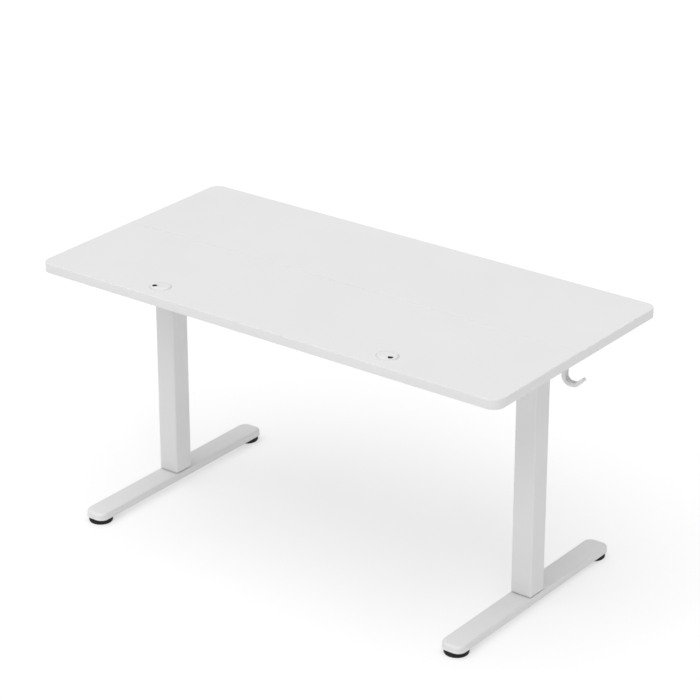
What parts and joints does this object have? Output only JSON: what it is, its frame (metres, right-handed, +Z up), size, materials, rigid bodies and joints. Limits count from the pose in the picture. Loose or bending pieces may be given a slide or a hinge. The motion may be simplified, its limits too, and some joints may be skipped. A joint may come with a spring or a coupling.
{
  "type": "height adjustable standing desk",
  "caption": "Rectangular height adjustable standing desk on square telescopic columns with flat feet, cable grommets, a control handset and a headphone hook.",
  "frame": {"origin": "on the floor, under the middle of the worktop, desk at its lowest setting", "axes": "+Z up, +X along the worktop towards the seated user's right, -Y towards the user"},
  "size_m": [1.4, 0.7, 0.717],
  "materials": {
    "white_laminate": "white melamine skin with a very fine matt grain",
    "birch": "bare birch",
    "zinc_plate": "bright zinc plate",
    "white_plastic": "satin moulded white plastic",
    "white_powder_coat": "fine white powder coat, satin",
    "inner_tube_coat": "smooth white powder coat, slightly glossier",
    "acetal": "waxy natural acetal",
    "gearbox_alloy": "die cast, dark",
    "motor_steel": "plated motor can",
    "bearing_steel": "ground steel",
    "screw_steel": "rolled steel, lightly greased",
    "wheel_brass": "cut brass",
    "black_rubber": "matt black moulded rubber",
    "black_plastic": "textured black plastic",
    "circuit_board": "green solder mask",
    "display": "polished black window",
    "key_plastic": "grey rubberised key",
    "lead_jacket": "black cable jacket"
  },
  "bodies": {
    "upper_frame": {"rear_board": "white_laminate", "front_board": "white_laminate", "board_dowels": "birch", "seam_plates": "zinc_plate", "fasteners": "zinc_plate", "left_grommet_sleeve": "white_plastic", "right_grommet_sleeve": "white_plastic", "handset_case": "white_plastic", "left_side_bracket": "white_powder_coat", "right_side_bracket": "white_powder_coat", "front_rail": "white_powder_coat", "rear_rail": "white_powder_coat", "left_column_head": "white_powder_coat", "right_column_head": "white_powder_coat", "left_outer_tube": "white_powder_coat", "right_outer_tube": "white_powder_coat", "headphone_hook": "white_powder_coat", "left_lower_glides": "acetal", "right_lower_glides": "acetal", "left_gearbox_case": "gearbox_alloy", "right_gearbox_case": "gearbox_alloy", "left_motor": "motor_steel", "right_motor": "motor_steel", "left_screw_bearing": "bearing_steel", "right_screw_bearing": "bearing_steel", "control_box_case": "black_plastic", "control_box_base": "black_plastic", "mains_inlet": "black_plastic", "lead_clips": "black_plastic", "control_board": "circuit_board", "handset_window": "display", "motor_leads": "lead_jacket", "handset_lead": "lead_jacket"},
    "left_lower_leg": {"left_inner_tube": "inner_tube_coat", "left_upper_glides": "acetal", "left_screw_nut": "acetal", "left_foot": "white_powder_coat", "left_foot_bolts": "zinc_plate"},
    "left_screw": {"left_lift_screw": "screw_steel", "left_worm_wheel": "wheel_brass"},
    "left_worm": {"left_worm_shaft": "screw_steel"},
    "left_lid": {"left_grommet_lid": "white_plastic"},
    "left_front_leveller": {"left_front_pad": "black_rubber"},
    "left_rear_leveller": {"left_rear_pad": "black_rubber"},
    "right_lower_leg": {"right_inner_tube": "inner_tube_coat", "right_upper_glides": "acetal", "right_screw_nut": "acetal", "right_foot": "white_powder_coat", "right_foot_bolts": "zinc_plate"},
    "right_screw": {"right_lift_screw": "screw_steel", "right_worm_wheel": "wheel_brass"},
    "right_worm": {"right_worm_shaft": "screw_steel"},
    "right_lid": {"right_grommet_lid": "white_plastic"},
    "right_front_leveller": {"right_front_pad": "black_rubber"},
    "right_rear_leveller": {"right_rear_pad": "black_rubber"},
    "memory_key_1_cap": {"memory_key_1": "key_plastic"},
    "memory_key_2_cap": {"memory_key_2": "key_plastic"},
    "memory_key_3_cap": {"memory_key_3": "key_plastic"},
    "down_key_cap": {"down_key": "key_plastic"},
    "up_key_cap": {"up_key": "key_plastic"}
  },
  "joints": [
    {"name": "left_leg_lift", "type": "slide", "parent": "left_lower_leg", "child": "upper_frame", "axis": [0, 0, 1], "range_m": [0, 0.47]},
    {"name": "right_leg_lift", "type": "slide", "parent": "upper_frame", "child": "right_lower_leg", "axis": [0, 0, -1], "range_m": [0, 0.47]},
    {"name": "left_screw_turn", "type": "hinge", "parent": "upper_frame", "child": "left_screw", "pos_m": [-0.57, 0, 0.4], "axis": [0, 0, 1], "continuous": true},
    {"name": "left_worm_turn", "type": "hinge", "parent": "upper_frame", "child": "left_worm", "pos_m": [-0.56, 0.0245, 0.665], "axis": [1, 0, 0], "continuous": true},
    {"name": "left_lid_turn", "type": "hinge", "parent": "upper_frame", "child": "left_lid", "pos_m": [-0.35, 0.292, 0.715], "axis": [0, 0, 1], "continuous": true},
    {"name": "left_front_level", "type": "slide", "parent": "left_lower_leg", "child": "left_front_leveller", "axis": [0, 0, -1], "range_m": [0, 0.01]},
    {"name": "left_rear_level", "type": "slide", "parent": "left_lower_leg", "child": "left_rear_leveller", "axis": [0, 0, -1], "range_m": [0, 0.01]},
    {"name": "right_screw_turn", "type": "hinge", "parent": "upper_frame", "child": "right_screw", "pos_m": [0.57, 0, 0.4], "axis": [0, 0, 1], "continuous": true},
    {"name": "right_worm_turn", "type": "hinge", "parent": "upper_frame", "child": "right_worm", "pos_m": [0.56, 0.0245, 0.665], "axis": [1, 0, 0], "continuous": true},
    {"name": "right_lid_turn", "type": "hinge", "parent": "upper_frame", "child": "right_lid", "pos_m": [0.35, 0.292, 0.715], "axis": [0, 0, 1], "continuous": true},
    {"name": "right_front_level", "type": "slide", "parent": "right_lower_leg", "child": "right_front_leveller", "axis": [0, 0, -1], "range_m": [0, 0.01]},
    {"name": "right_rear_level", "type": "slide", "parent": "right_lower_leg", "child": "right_rear_leveller", "axis": [0, 0, -1], "range_m": [0, 0.01]},
    {"name": "memory_key_1_press", "type": "slide", "parent": "upper_frame", "child": "memory_key_1_cap", "axis": [0, 1, 0], "range_m": [0, 0.001], "stiffness_N_per_m": 400},
    {"name": "memory_key_2_press", "type": "slide", "parent": "upper_frame", "child": "memory_key_2_cap", "axis": [0, 1, 0], "range_m": [0, 0.001], "stiffness_N_per_m": 400},
    {"name": "memory_key_3_press", "type": "slide", "parent": "upper_frame", "child": "memory_key_3_cap", "axis": [0, 1, 0], "range_m": [0, 0.001], "stiffness_N_per_m": 400},
    {"name": "down_key_press", "type": "slide", "parent": "upper_frame", "child": "down_key_cap", "axis": [0, 1, 0], "range_m": [0, 0.001], "stiffness_N_per_m": 400},
    {"name": "up_key_press", "type": "slide", "parent": "upper_frame", "child": "up_key_cap", "axis": [0, 1, 0], "range_m": [0, 0.001], "stiffness_N_per_m": 400}
  ],
  "couplings": [
    {"joint": "right_leg_lift", "follows": "left_leg_lift", "ratio": 1},
    {"joint": "left_screw_turn", "follows": "left_leg_lift", "rad_per_m": 785.4},
    {"joint": "left_worm_turn", "follows": "left_leg_lift", "rad_per_m": 9424.8},
    {"joint": "right_screw_turn", "follows": "left_leg_lift", "rad_per_m": 785.4},
    {"joint": "right_worm_turn", "follows": "left_leg_lift", "rad_per_m": 9424.8}
  ]
}
